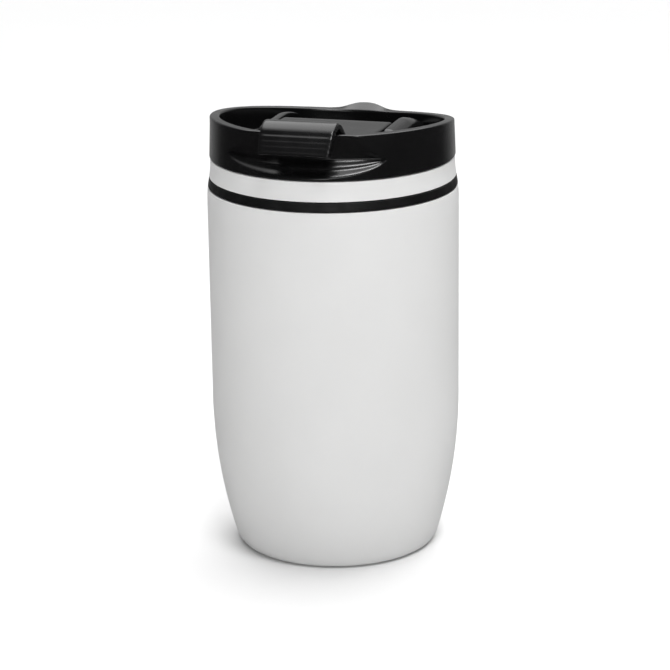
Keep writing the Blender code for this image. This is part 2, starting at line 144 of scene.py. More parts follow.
INSERT_R = 35.3
INSERT_BORE_R = PLUG_OUT_R + GAP
INSERT_LEDGE_R = PLUG_IN_R - GAP
INSERT_LEDGE = INSERT_SEAL_LOW.z - GAP
INSERT_FLOOR = GROMMET_LOW.z - GAP

THREAD_LEAD = 8.0
THREAD_STARTS = 2
THREAD_SPAN = math.radians(240.0)
THREAD_CREST_R = INSERT_HIGH.x
INSERT_THREAD_Z = INSERT_LOW.z + 2.5
COLLAR_THREAD_Z = INSERT_THREAD_Z + THREAD_LEAD / THREAD_STARTS / 2
COLLAR_CREST_R = 35.85

EAR_IN = LEVER_HIGH.x + 0.7
EAR_OUT = EAR_IN + 5.4
EAR_FRONT = HINGE.y - 14.0
EAR_BACK = HINGE.y + 26.0
EAR_TOP = HINGE.z + 3.0
EAR_NOSE_Y = EAR_FRONT + 4.0
EAR_FALL_Y = HINGE.y + 7.0
EAR_DROP = 4.8
DRINK_Y = (DRINK_LOW.y + DRINK_HIGH.y) / 2
STOPPER_FLANGE = 1.5
DRINK_HALF_X = (DRINK_HIGH.x - DRINK_LOW.x) / 2 - STOPPER_FLANGE
DRINK_HALF_Y = (DRINK_HIGH.y - DRINK_LOW.y) / 2 - STOPPER_FLANGE
DRINK_POST_R = 2.6
SPOUT_WALL = 1.2
SPOUT_END = GROMMET_HIGH.z + GAP
VENT_Y = (VENT_LOW.y + VENT_HIGH.y) / 2
VENT_R = 1.5
VENT_TUBE_R = 2.7
VENT_POST_R = 1.2
PIN_R = 1.2
PIN_BORE_R = PIN_R + GAP
BARREL_R = 2.9


# ------------------------------------------------------------------ mesh tools

def around(radius, phi, z):
    return Vector((radius * math.sin(phi), -radius * math.cos(phi), z))


def spread(start, stop, steps):
    """Evenly spaced values, both ends included."""
    return [start + (stop - start) * i / steps for i in range(steps + 1)]


def rounded(corners, steps=4):
    """Rounds a closed outline. Each corner is (u, v, radius); the arcs are drawn as short curves."""
    points = []
    for i, (u, v, radius) in enumerate(corners):
        if radius <= 0.0:
            points.append((u, v))
            continue
        here = Vector((u, v))
        before = Vector(corners[i - 1][:2]) - here
        after = Vector(corners[(i + 1) % len(corners)][:2]) - here
        reach = min(radius, ARC_SHARE * before.length, ARC_SHARE * after.length)
        start = here + before.normalized() * reach
        stop = here + after.normalized() * reach
        for k in range(steps + 1):
            t = k / steps
            point = start * (1 - t) ** 2 + here * (2 * t * (1 - t)) + stop * t ** 2
            points.append((point.x, point.y))
    return points


def add_object(name, data):
    obj = bpy.data.objects.new(name, data)
    bpy.context.scene.collection.objects.link(obj)
    return obj


def add_piece(name, bm):
    """Makes an object in metres out of millimetre geometry."""
    for vert in bm.verts:
        vert.co *= MM
    bmesh.ops.recalc_face_normals(bm, faces=bm.faces)
    mesh = bpy.data.meshes.new(name)
    bm.to_mesh(mesh)
    bm.free()
    mesh.shade_smooth()
    mesh.set_sharp_from_angle(angle=SHARP)
    return add_object(name, mesh)


def lathe(name, outline, segments=FINE):
    """A turned solid: outline(phi) is its closed section, which may start and end on the axis."""
    bm = bmesh.new()
    first = outline(0.0)
    on_axis = first[0][0] == 0.0
    poles = [bm.verts.new((0, 0, first[0][1])), bm.verts.new((0, 0, first[-1][1]))] if on_axis else []
    rings = []
    for i in range(segments):
        phi = 2.0 * math.pi * i / segments
        points = outline(phi)[1:-1] if on_axis else outline(phi)
        rings.append([bm.verts.new(around(r, phi, z)) for r, z in points])
    count = len(rings[0])
    for i in range(segments):
        here, there = rings[i], rings[(i + 1) % segments]
        if on_axis:
            bm.faces.new((poles[0], here[0], there[0]))
            bm.faces.new((poles[1], there[-1], here[-1]))
        for j in range(count - 1 if on_axis else count):
            k = (j + 1) % count
            bm.faces.new((here[j], here[k], there[k], there[j]))
    return add_piece(name, bm)


def turned(name, corners, segments=FINE, steps=4):
    points = rounded(corners, steps)
    return lathe(name, lambda phi: points, segments)


def loft(name, sections):
    bm = bmesh.new()
    rows = [[bm.verts.new(point) for point in section] for section in sections]
    count = len(rows[0])
    for here, there in zip(rows, rows[1:]):
        for j in range(count):
            k = (j + 1) % count
            bm.faces.new((here[j], here[k], there[k], there[j]))
    bm.faces.new(rows[0])
    bm.faces.new(rows[-1])
    return add_piece(name, bm)


def combine(target, tool, operation):
    """Joins or cuts at once, so that no modifier and no tool object is left behind."""
    modifier = target.modifiers.new("combine", "BOOLEAN")
    modifier.operation = operation
    modifier.solver = "EXACT"
    modifier.object = tool
    graph = bpy.context.evaluated_depsgraph_get()
    result = bpy.data.meshes.new_from_object(target.evaluated_get(graph))
    target.modifiers.clear()
    target.data = result
    bpy.data.objects.remove(tool)
    result.shade_smooth()
    result.set_sharp_from_angle(angle=CUT_SHARP)


def weight_normals(obj):
    """Keeps flat faces flat beside their rounded edges."""
    modifier = obj.modifiers.new("weighted_normals", "WEIGHTED_NORMAL")
    modifier.keep_sharp = True
    modifier.weight = 80


def oval(half_x, half_y, centre_y, z, count=64):
    straight = half_x - half_y
    points = []
    for i in range(count):
        angle = 2.0 * math.pi * (i + 0.5) / count
        side = math.copysign(straight, math.cos(angle))
        points.append((side + half_y * math.cos(angle), centre_y + half_y * math.sin(angle), z))
    return points


def oval_stack(name, levels, centre_y, count=64):
    """A solid of stadium-shaped levels: each is (half x, half y, z)."""
    return loft(name, [oval(half_x, half_y, centre_y, z, count) for half_x, half_y, z in levels])


def post_stack(name, levels, centre_y, count=48):
    return oval_stack(name, [(radius, radius, z) for radius, z in levels], centre_y, count)


def rod(name, levels, count=64):
    """A round rod along the hinge: each level is (radius, x)."""
    return loft(name, [[(x, HINGE.y + radius * math.cos(2 * math.pi * i / count),
                         HINGE.z + radius * math.sin(2 * math.pi * i / count))
                        for i in range(count)] for radius, x in levels])


def through(rows, per_span=10):
    """A smooth row of values through the given rows (a Catmull-Rom curve)."""
    padded = [rows[0]] + list(rows) + [rows[-1]]
    result = []
    for a, b, c, d in zip(padded, padded[1:], padded[2:], padded[3:]):
        for k in range(per_span):
            t = k / per_span
            result.append(tuple(0.5 * (2 * q + (r - p) * t + (2 * p - 5 * q + 4 * r - s) * t ** 2
                                       + (3 * q - p - 3 * r + s) * t ** 3)
                                for p, q, r, s in zip(a, b, c, d)))
    return result + [tuple(rows[-1])]


# ------------------------------------------------------------------ cup

def body_radius(z):
    if z < BELLY_Z:
        return BODY_R - (BELLY_ARC_R - math.sqrt(BELLY_ARC_R ** 2 - (BELLY_Z - z) ** 2))
    if z <= FLARE_Z:
        return BODY_R
    return BODY_R + (SHELL_TOP_R - BODY_R) * ((z - FLARE_Z) / (SHELL_TOP - FLARE_Z)) ** 2


def make_shell():
    rise = spread(FOOT_FILLET, BELLY_Z, 40)
    straight = spread(BELLY_Z, FLARE_Z, 12)[1:]
    flare = spread(FLARE_Z, SHELL_TOP - 0.4, 8)[1:]
    foot = [(HEM_IN_R, 0.0, 0.35), (HEM_OUT_R, 0.0, 0.8), (body_radius(0.0) - 0.35, 0.55, 1.6)]
    outside = [(body_radius(z), z, 0.0) for z in rise + straight + flare]
    top = [(SHELL_TOP_R, SHELL_TOP, 0.35), (NECK_TUBE_R + GAP, SHELL_TOP, 0.2),
           (NECK_TUBE_R + GAP, SHELL_TOP - 1.2, 0.2), (BODY_R - SHELL_WALL, FLARE_Z - 1.0, 0.5)]
    inner = spread(BELLY_Z, RIB_TOP, 16)[:-1]
    inside = [(body_radius(z) - SHELL_WALL, z, 0.0) for z in inner]
    rib = [(body_radius(4.0) - SHELL_WALL, 4.0, 0.5), (HEM_OUT_R, SHELL_WALL, 0.5),
           (HEM_IN_R + 1.4, SHELL_WALL, 0.3), (HEM_IN_R + 1.4, RIB_TOP, 0.3), (HEM_IN_R, RIB_TOP, 0.3)]
    return turned("tumbler_shell", foot + outside + top + inside + rib, steps=5)


def make_base_cap():
    """Snapped-in cap with a shallow ring step round the pad's seat."""
    low, high, edge = CAP_LOW.z, CAP_HIGH.z, CAP_HIGH.x
    corners = [(0.0, low, 0.0), (edge - 2.6, low, 0.15), (edge - 2.2, low + 0.35, 0.15),
               (edge - 1.4, low + 0.35, 0.15), (edge - 1.1, low, 0.15), (edge, low, 0.4), (edge, high, 0.3),
               (edge - 1.5, high, 0.3), (edge - 1.5, low + 1.8, 0.6), (0.0, low + 1.8, 0.0)]
    return turned("tumbler_base_cap", corners)


def make_base_pad():
    """Anti-slip pad with round grooves moulded into its underside."""
    edge, top = PAD_HIGH.x, PAD_HIGH.z
    corners = [(0.0, 0.0, 0.0)]
    for groove in range(5):
        radius = 5.0 + 4.2 * groove
        corners += [(radius, 0.0, 0.1), (radius + 0.15, 0.25, 0.1), (radius + 0.85, 0.25, 0.1),
                    (radius + 1.0, 0.0, 0.1)]
    corners += [(edge, 0.0, 0.3), (edge, top, 0.15), (0.0, top, 0.0)]
    return turned("tumbler_base_pad", corners)


def liner_radius(z):
    return body_radius(min(z, BELLY_Z)) - (BODY_R - LINER_R)


def make_liner():
    """Drawn steel cup with a rounded floor corner, a stamped floor step and a turned-out lip."""
    corner_r = liner_radius(LINER_CORNER)
    depth = LINER_CORNER - LINER_FLOOR
    arc = spread(0.0, math.radians(90.0), 12)[:-1]
    heights = spread(LINER_CORNER, BELLY_Z, 24)
    lip_under = LINER_LIP - LINER_WALL
    thin = depth - LINER_WALL
    outside = [(0.0, LINER_FLOOR, 0.0)]
    outside += [(corner_r - depth + depth * math.sin(t), LINER_CORNER - depth * math.cos(t), 0.0)
                for t in arc]
    outside += [(liner_radius(z), z, 0.0) for z in heights]
    lip = [(LINER_R, lip_under, 0.8), (LINER_HIGH.x, lip_under, 0.3), (LINER_HIGH.x, LINER_LIP, 0.3),
           (LINER_R - LINER_WALL, LINER_LIP, 0.9)]
    inside = [(liner_radius(z) - LINER_WALL, z, 0.0) for z in reversed(heights)]
    inside += [(corner_r - depth + thin * math.sin(t), LINER_CORNER - thin * math.cos(t), 0.0)
               for t in reversed(arc)]
    floor = LINER_FLOOR + LINER_WALL
    step = [(19.0, floor, 0.4), (18.2, floor + 0.5, 0.4), (0.0, floor + 0.5, 0.0)]
    return turned("tumbler_liner", outside + lip + inside + step)


def ridge(name, root, crest, start_z, start):
    """One ridge of the screw thread, with rounded flanks and ends that fade into the wall."""
    inward = -1.0 if crest < root else 1.0
    steps = 160
    sections = []
    for i in range(steps + 1):
        phi = start + THREAD_SPAN * i / steps
        z = start_z + THREAD_LEAD * (phi - start) / (2.0 * math.pi)
        fade = min(1.0, (min(i, steps - i) + 0.4) / 8.0)
        tip = root + (crest - root) * math.sin(0.5 * math.pi * fade)
        foot = root - inward * 0.4
        corners = [(foot, z - 0.85, 0.0), (foot, z + 0.85, 0.0), (tip, z + 0.45, 0.25), (tip, z - 0.45, 0.25)]
        sections.append([around(r, phi, height) for r, height in rounded(corners, 3)])
    return loft(name, sections)


def add_thread(target, root, crest, start_z):
    for start in range(THREAD_STARTS):
        angle = 2.0 * math.pi * start / THREAD_STARTS
        combine(target, ridge("ridge", root, crest, start_z, angle), "UNION")


def make_collar():
    band = RING_HIGH.z + GAP
    corners = [(COLLAR_BORE_R, COLLAR_LOW.z, 0.3), (NECK_TUBE_R, COLLAR_LOW.z, 0.3),
               (NECK_TUBE_R, band, 0.15), (COLLAR_R, band, 0.25),
               (COLLAR_R - 0.21, band + 1.0, 0.6), (COLLAR_R - 0.38, band + 2.4, 1.0),
               (COLLAR_R - 0.5, band + 3.6, 1.0), (COLLAR_R - 0.5, COLLAR_TOP, 0.35),
               (SEAT_R, COLLAR_TOP, 0.2),
               (SEAT_R, SEAT_Z, 0.2), (COLLAR_BORE_R, SEAT_Z, 0.4)]
    collar = turned("tumbler_collar", corners)
    add_thread(collar, COLLAR_BORE_R, COLLAR_CREST_R, COLLAR_THREAD_Z)
    return collar


def make_trim_ring():
    inner = NECK_TUBE_R + GAP
    corners = [(inner, RING_LOW.z, 0.2), (RING_HIGH.x, RING_LOW.z, 0.3),
               (RING_HIGH.x - 0.5, RING_HIGH.z, 0.3),
               (inner, RING_HIGH.z, 0.2)]
    return turned("tumbler_trim_ring", corners)


def make_seal(name, low, high, width, lips):
    """A silicone ring with thin lips round its outside."""
    inner, outer = high.x - width, high.x
    height = high.z - low.z
    corners = [(inner, low.z, 0.2)]
    for lip in range(lips):
        bottom = low.z + height * lip / lips
        top = low.z + height * (lip + 1) / lips
        corners += [(outer, bottom, 0.2), (outer, (bottom + top) / 2, 0.15), (outer - 0.35, top - 0.12, 0.1)]
    corners += [(outer - 0.35, high.z, 0.15), (inner, high.z, 0.2)]
    return turned(name, corners, steps=3)


# ------------------------------------------------------------------ lid

def rim_height(phi):
    return RIM_MEAN + RIM_TILT * math.cos(phi) - RIM_SADDLE * math.cos(2.0 * phi)


def thumb_tab(phi):
    """1 in the middle of the thumb tab at the back, fading to 0 beside it."""
    return math.exp(-(abs(phi - math.pi) / TAB_WIDTH) ** TAB_SHOULDER)


def scoop(phi, z):
    """Depth of the almond-shaped finger scoop: scalloped below its crease, smooth above it."""
    side = (math.pi - abs(math.pi - phi)) / SCOOP_HALF
    if side >= 1.0:
        return 0.0
    low = CREASE_Z - SCOOP_LOWER * math.sqrt(1.0 - side ** 2)
    high = CREASE_Z + SCOOP_UPPER * (1.0 - side ** 2) ** SCOOP_TAPER
    if z <= low or z >= high:
        return 0.0
    if z < CREASE_Z:
        part = (z - low) / (CREASE_Z - low)
        shape = part - SCOOP_RIPPLE * math.sin(4.0 * math.pi * part)
    else:
        part = (high - z) / (high - CREASE_Z)
        shape = part * part * (3.0 - 2.0 * part)
    return SCOOP_DEPTH * math.sqrt(1.0 - side ** 2) * shape


def lid_wall_radius(phi, z):
    part = min(1.0, max(0.0, (z - LID_BOTTOM) / (LID_TAPER_TOP - LID_BOTTOM)))
    rise = min(1.0, max(0.0, (z - LID_BOTTOM) / (rim_height(phi) - LID_BOTTOM)))
    tab = TAB_REACH * thumb_tab(phi) * rise ** 3
    return LID_BOTTOM_R + (LID_TOP_R - LID_BOTTOM_R) * part - scoop(phi, z) + tab


def lid_inner_radius(phi, z):
    tab = TAB_REACH * thumb_tab(phi)
    return min(LID_BORE_R, lid_wall_radius(phi, max(z, CREASE_Z)) - tab - LID_MIN_WALL)


def lid_outline(phi):
    rim = rim_height(phi)
    tab_rim = rim + TAB_RISE * thumb_tab(phi)
    inner_rows = spread(DECK + 2.2, rim - 1.6, 20)
    outer_rows = spread(tab_rim - 1.5, LID_BOTTOM + 0.7, 88)
    top_out = lid_wall_radius(phi, tab_rim)
    corners = [(0.0, DECK, 0.0), (lid_inner_radius(phi, DECK), DECK, 2.0)]
    corners += [(lid_inner_radius(phi, z), z, 0.0) for z in inner_rows]
    corners += [(lid_inner_radius(phi, rim), rim, 1.2), (top_out, tab_rim, 1.2)]
    corners += [(lid_wall_radius(phi, z), z, 0.0) for z in outer_rows]
    corners += [(LID_BOTTOM_R, LID_BOTTOM, 0.5), (LIP_IN_R, LID_BOTTOM, 0.2), (LIP_IN_R, DECK_UNDER, 0.2),
                (PLUG_OUT_R, DECK_UNDER, 0.3), (PLUG_OUT_R, PLUG_END, 0.3), (PLUG_IN_R, PLUG_END, 0.3),
                (PLUG_IN_R, DECK_UNDER, 0.3), (0.0, DECK_UNDER, 0.0)]
    return rounded(corners, 5)


def ear_top(y):
    """Height of a shoulder: a rounded nose, a level stretch by the hinge and a fall to the back."""
    if y < EAR_NOSE_Y:
        part = (EAR_NOSE_Y - y) / (EAR_NOSE_Y - EAR_FRONT)
        return DECK + (EAR_TOP - DECK) * math.sqrt(max(0.02, 1.0 - part ** 2))
    if y > EAR_FALL_Y:
        return EAR_TOP - EAR_DROP * ((y - EAR_FALL_Y) / (EAR_BACK - EAR_FALL_Y)) ** 1.5
    return EAR_TOP


def ear(side):
    """A shoulder beside the lever: upright towards the lever, domed down towards the wall."""
    sections = []
    steps = 64
    for i in range(steps + 1):
        y = EAR_FRONT + (EAR_BACK - EAR_FRONT) * i / steps
        out = min(EAR_OUT, math.sqrt((LID_BORE_R + 1.0) ** 2 - y ** 2))
        top = ear_top(y)
        base = DECK - 0.8
        points = [(EAR_IN, base), (out, base)]
        for k in range(17):
            t = 0.5 * math.pi * k / 16
            points.append((EAR_IN + 0.5 + (out - EAR_IN - 0.5) * math.cos(t) ** 0.75,
                           base + (top - base) * math.sin(t) ** 0.6))
        points += [(EAR_IN + 0.15, top - 0.12), (EAR_IN, top - 0.5)]
        sections.append([(side * x, y, z) for x, z in points])
    return loft("ear", sections)


def hole_level(extra, z):
    """One level of the drinking hole's outline, wider by extra all round."""
    return (DRINK_HALF_X + extra, DRINK_HALF_Y + extra, z)


def make_lid():
    lid = lathe("tumbler_lid", lid_outline, LID_FINE)
    for side in (-1.0, 1.0):
        combine(lid, ear(side), "UNION")
    spout = [hole_level(SPOUT_WALL, SPOUT_END), hole_level(SPOUT_WALL, DECK - 0.6)]
    combine(lid, oval_stack("spout", spout, DRINK_Y), "UNION")
    tube = [(VENT_TUBE_R, INSERT_FLOOR + GAP), (VENT_TUBE_R, DECK - 0.6)]
    combine(lid, post_stack("vent_tube", tube, VENT_Y), "UNION")
    hole = [hole_level(0.0, SPOUT_END - PAST), hole_level(0.0, DECK - 0.5), hole_level(0.2, DECK - 0.15),
            hole_level(0.6, DECK + 0.1), hole_level(0.6, DECK + PAST)]
    combine(lid, oval_stack("spout_hole", hole, DRINK_Y), "DIFFERENCE")
    vent = [(VENT_R, INSERT_FLOOR - PAST), (VENT_R, DECK - 0.3), (VENT_R + 0.3, DECK + 0.1),
            (VENT_R + 0.3, DECK + PAST)]
    combine(lid, post_stack("vent_hole", vent, VENT_Y), "DIFFERENCE")
    bore = [(PIN_BORE_R, PIN_LOW.x - PAST), (PIN_BORE_R, PIN_HIGH.x + PAST)]
    combine(lid, rod("pin_hole", bore), "DIFFERENCE")
    return lid


def make_insert():
    under, top = INSERT_LOW.z, INSERT_HIGH.z
    corners = [(0.0, under, 0.0), (INSERT_R - 0.2, under, 1.0), (INSERT_R, under + 1.2, 0.2),
               (INSERT_R, top, 0.2), (INSERT_BORE_R, top, 0.3), (INSERT_BORE_R, INSERT_LEDGE, 0.2),
               (INSERT_LEDGE_R, INSERT_LEDGE, 0.2),
               (INSERT_LEDGE_R, INSERT_FLOOR, 0.8), (0.0, INSERT_FLOOR, 0.0)]
    insert = turned("tumbler_lid_insert", corners)
    add_thread(insert, INSERT_R, THREAD_CREST_R, INSERT_THREAD_Z)
    hole = [hole_level(0.6, under - PAST), hole_level(0.6, under - 0.1), hole_level(0.0, under + 0.4),
            hole_level(0.0, INSERT_FLOOR + PAST)]
    combine(insert, oval_stack("hole", hole, DRINK_Y), "DIFFERENCE")
    vent = [(VENT_R, under - PAST), (VENT_R, INSERT_FLOOR + PAST)]
    combine(insert, post_stack("vent", vent, VENT_Y), "DIFFERENCE")
    return insert


def make_grommet():
    low, high = GROMMET_LOW.z, GROMMET_HIGH.z
    levels = [hole_level(SPOUT_WALL - 0.2, low), hole_level(SPOUT_WALL, low + 0.2),
              hole_level(SPOUT_WALL, high - 0.2), hole_level(SPOUT_WALL - 0.2, high)]
    grommet = oval_stack("tumbler_spout_grommet", levels, DRINK_Y)
    hole = [hole_level(0.0, low - PAST), hole_level(0.0, high + PAST)]
    combine(grommet, oval_stack("hole", hole, DRINK_Y), "DIFFERENCE")
    return grommet


# ------------------------------------------------------------------ lever

LEVER_HALF = LEVER_HIGH.x
PLATE_TOP = HINGE.z + 3.0
HOOK_TOP = LEVER_HIGH.z
# y, top z, half width, skin thickness, skirt depth, lean of the top face in degrees
LEVER_STATIONS = (
    (HINGE.y + 2.4, PLATE_TOP - 0.8, LEVER_HALF, 1.6, 0.5, -25.0),
    (HINGE.y, PLATE_TOP, LEVER_HALF, 2.2, 0.8, 0.0),
    (HINGE.y - 9.0, PLATE_TOP, LEVER_HALF, 2.2, 3.4, 0.0),
    (HINGE.y - 17.0, PLATE_TOP, 18.2, 2.2, 3.4, 0.0),
    (HINGE.y - 24.0, PLATE_TOP, 15.4, 2.2, 3.4, 0.0),
    (HINGE.y - 29.2, PLATE_TOP + 0.5, 13.4, 2.2, 2.2, -12.0),
    (HINGE.y - 31.8, PLATE_TOP + 2.6, 12.8, 2.1, 0.6, -42.0),
    (HINGE.y - 34.2, PLATE_TOP + 5.3, 12.5, 2.0, 0.4, -43.0),
    (HINGE.y - 37.0, HOOK_TOP - 0.6, 12.4, 2.0, 0.3, -20.0),
    (HINGE.y - 40.5, HOOK_TOP - 0.05, 12.4, 1.9, 0.3, 6.0),
    (HINGE.y - 44.0, HOOK_TOP - 1.5, 12.4, 1.8, 0.3, 40.0),
    (HINGE.y - 46.4, HOOK_TOP - 4.1, 12.3, 1.7, 0.3, 62.0),
    (HINGE.y - 48.0, HOOK_TOP - 6.7, 12.1, 1.6, 0.3, 67.0),
    (HINGE.y - 49.2, HOOK_TOP - 9.0, 11.8, 1.5, 0.3, 70.0),
)
GRIP_START, GRIP_COUNT, GRIP_DEPTH = 0.80, 4, 0.15


def lever_section(station, groove, shrink=0.0, advance=0.0):
    y, top, half, skin, skirt, lean = station
    angle = math.radians(lean)
    normal = Vector((0.0, -math.sin(angle), math.cos(angle)))
    along = Vector((0.0, -math.cos(angle), -math.sin(angle)))
    side = 1.4
    bottom = skin + skirt
    corners = [(-half, bottom, 0.3), (-half, 0.0, 0.9), (-half + 2.0, groove, 0.4), (half - 2.0, groove, 0.4),
               (half, 0.0, 0.9), (half, bottom, 0.3), (half - side, bottom, 0.25), (half - side, skin, 0.3),
               (-half + side, skin, 0.3), (-half + side, bottom, 0.25)]
    centre = Vector((0.0, y, top)) - normal * bottom / 2 + along * advance
    points = []
    for x, depth in rounded(corners, 4):
        offset = bottom / 2 - depth
        squeeze = max(0.0, 1.0 - shrink / (bottom / 2))
        points.append(centre + Vector((x * (1.0 - shrink / half), 0.0, 0.0)) + normal * offset * squeeze)
    return points


def make_lever():
    path = through(LEVER_STATIONS, 12)
    sections = []
    for i, station in enumerate(path):
        part = (i / (len(path) - 1) - GRIP_START) / (0.985 - GRIP_START)
        wave = math.sin(math.pi * GRIP_COUNT * part) ** 2 if 0.0 < part < 1.0 else 0.0
        sections.append(lever_section(station, GRIP_DEPTH * wave))
    for shrink, advance in ((0.12, 0.18), (0.3, 0.3), (0.55, 0.36)):
        sections.append(lever_section(path[-1], 0.0, shrink, advance))
    lever = loft("tumbler_lever", sections)
    edge = 0.5
    barrel = [(BARREL_R - edge, -LEVER_HALF), (BARREL_R, -LEVER_HALF + edge), (BARREL_R, LEVER_HALF - edge),
              (BARREL_R - edge, LEVER_HALF)]
    combine(lever, rod("barrel", barrel), "UNION")
    under = PLATE_TOP - 1.0
    drink_post = [(DRINK_POST_R - 0.2, DECK + 0.6), (DRINK_POST_R, DECK + 0.8), (DRINK_POST_R, under)]
    combine(lever, post_stack("post", drink_post, DRINK_Y), "UNION")
    vent_post = [(VENT_POST_R - 0.1, DECK + 1.0), (VENT_POST_R, DECK + 1.1), (VENT_POST_R, under)]
    combine(lever, post_stack("post", vent_post, VENT_Y), "UNION")
    bore = [(PIN_BORE_R, -LEVER_HALF - PAST), (PIN_BORE_R, LEVER_HALF + PAST)]
    combine(lever, rod("bore", bore), "DIFFERENCE")
    return lever


def make_pin():
    reach = PIN_HIGH.x
    levels = [(PIN_R - 0.3, -reach), (PIN_R, -reach + 0.4), (PIN_R, reach - 0.4), (PIN_R - 0.3, reach)]
    return rod("tumbler_hinge_pin", levels, 48)


def make_drink_stopper():
    low, high = DRINK_LOW.z, DRINK_HIGH.z
    lip = DECK + GAP
    levels = [(DRINK_HALF_X - 1.2, DRINK_HALF_Y - 1.1, low),
              (DRINK_HALF_X - 0.8, DRINK_HALF_Y - 0.7, low + 0.3), hole_level(-0.5, lip),
              hole_level(STOPPER_FLANGE - 0.3, lip), hole_level(STOPPER_FLANGE, lip + 0.3),
              hole_level(STOPPER_FLANGE, high - 0.4), hole_level(STOPPER_FLANGE - 0.4, high)]
    stopper = oval_stack("tumbler_drink_stopper", levels, DRINK_Y)
    socket = [(DRINK_POST_R + GAP, DECK + 0.3), (DRINK_POST_R + GAP, high + PAST)]
    combine(stopper, post_stack("socket", socket, DRINK_Y), "DIFFERENCE")
    return stopper


def make_vent_stopper():
    low, high = VENT_LOW.z, VENT_HIGH.z
    levels = [(0.7, low), (0.9, low + 0.2), (1.05, DECK + GAP), (2.5, DECK + GAP), (2.8, DECK + 0.6),
              (2.8, high - 0.4), (2.4, high)]
    stopper = post_stack("tumbler_vent_stopper", levels, VENT_Y)
    socket = [(VENT_POST_R + GAP, DECK + 0.7), (VENT_POST_R + GAP, high + PAST)]
    combine(stopper, post_stack("socket", socket, VENT_Y), "DIFFERENCE")
    return stopper


# ------------------------------------------------------------------ materials

def smooth_range(tree, value, low, high, to_low, to_high):
    """A value eased from one range into another."""
    node = tree.nodes.new("ShaderNodeMapRange")
    node.interpolation_type = "SMOOTHSTEP"
    for key, number in zip(("From Min", "From Max", "To Min", "To Max"), (low, high, to_low, to_high)):
        node.inputs[key].default_value = number
    tree.links.new(value, node.inputs["Value"])
    return node.outputs["Result"]


class Surface:
    """A Principled material with short helpers for the nodes that vary it."""

    def __init__(self, name, metallic=0.0):
        self.material = bpy.data.materials.new(name)
        self.material.use_nodes = True
        self.tree = self.material.node_tree
        self.shader = self.tree.nodes["Principled BSDF"]
        self.shader.inputs["Metallic"].default_value = metallic
        self.place = self.tree.nodes.new("ShaderNodeTexCoord").outputs["Object"]

    def link(self, output, target):
        self.tree.links.new(output, target)

    def stretched(self, scale):
        node = self.tree.nodes.new("ShaderNodeMapping")
        node.inputs["Scale"].default_value = scale
        self.link(self.place, node.inputs["Vector"])
        return node.outputs["Vector"]

    def noise(self, scale, detail=3.0, roughness=0.5, where=None):
        node = self.tree.nodes.new("ShaderNodeTexNoise")
        node.inputs["Scale"].default_value = scale
        node.inputs["Detail"].default_value = detail
        node.inputs["Roughness"].default_value = roughness
        self.link(where or self.place, node.inputs["Vector"])
        return node.outputs["Fac"]

    def remap(self, value, low, high, to_low, to_high):
        return smooth_range(self.tree, value, low, high, to_low, to_high)

    def math(self, operation, first, second):
        node = self.tree.nodes.new("ShaderNodeMath")
        node.operation = operation
        for socket, value in zip(node.inputs, (first, second)):
            if isinstance(value, (int, float)):
                socket.default_value = value
            else:
                self.link(value, socket)
        return node.outputs["Value"]

    def blend(self, amount, first, second):
        node = self.tree.nodes.new("ShaderNodeMix")
        node.data_type = "RGBA"
        self.link(amount, node.inputs["Factor"])
        for socket, value in ((node.inputs["A"], first), (node.inputs["B"], second)):
            if isinstance(value, tuple):
                socket.default_value = (*value, 1.0)
            else:
                self.link(value, socket)
        return node.outputs["Result"]

    def edges(self, low, high):
        """1 along worn convex edges, 0 elsewhere."""
        node = self.tree.nodes.new("ShaderNodeNewGeometry")
        return self.remap(node.outputs["Pointiness"], low, high, 0.0, 1.0)

    def set_colour(self, output):
        self.link(output, self.shader.inputs["Base Color"])

    def set_roughness(self, output):
        self.link(output, self.shader.inputs["Roughness"])

    def set_bump(self, height, strength, distance):
        node = self.tree.nodes.new("ShaderNodeBump")
        node.inputs["Strength"].default_value = strength
        node.inputs["Distance"].default_value = distance
        self.link(height, node.inputs["Height"])
        self.link(node.outputs["Normal"], self.shader.inputs["Normal"])


def shade(colour, factor):
    return tuple(min(1.0, channel * factor) for channel in colour)


def white_plastic():
    """Satin lacquered plastic: faint orange peel, barely uneven tone, a little scuffing on edges."""
    base = (0.80, 0.80, 0.795)
    s = Surface("satin_white_plastic")
    tone = s.blend(s.remap(s.noise(22.0, 4.0), 0.3, 0.7, 0.0, 1.0), shade(base, 0.985), shade(base, 1.015))
    worn = s.math("MULTIPLY", s.edges(0.52, 0.60), s.remap(s.noise(260.0, 5.0), 0.45, 0.65, 0.0, 0.5))
    s.set_colour(s.blend(worn, tone, (0.68, 0.675, 0.66)))
    s.set_roughness(s.remap(s.noise(60.0, 5.0), 0.25, 0.75, 0.33, 0.43))
    peel = s.math("ADD", s.noise(900.0, 2.0), s.math("MULTIPLY", s.noise(3600.0, 2.0), 0.35))
    s.set_bump(peel, 0.10, 0.00006)
    s.shader.inputs["Coat Weight"].default_value = 0.12
    s.shader.inputs["Coat Roughness"].default_value = 0.22
    return s.material


def black_plastic():
    """Moulded black plastic: fine spark texture, soft rub marks and paler worn edges."""
    base = (0.0055, 0.0055, 0.0058)
    s = Surface("satin_black_plastic")
    rub = s.remap(s.noise(45.0, 6.0, 0.6), 0.35, 0.7, 0.0, 1.0)
    tone = s.blend(rub, shade(base, 0.85), shade(base, 1.25))
    worn = s.math("MULTIPLY", s.edges(0.53, 0.64), s.remap(s.noise(420.0, 5.0), 0.4, 0.7, 0.0, 0.6))
    s.set_colour(s.blend(worn, tone, (0.024, 0.024, 0.0245)))
    s.set_roughness(s.remap(s.noise(90.0, 5.0, 0.6), 0.3, 0.75, 0.20, 0.28))
    grain = s.math("ADD", s.noise(2600.0, 2.0), s.math("MULTIPLY", s.noise(700.0, 3.0), 0.4))
    s.set_bump(grain, 0.08, 0.00005)
    return s.material


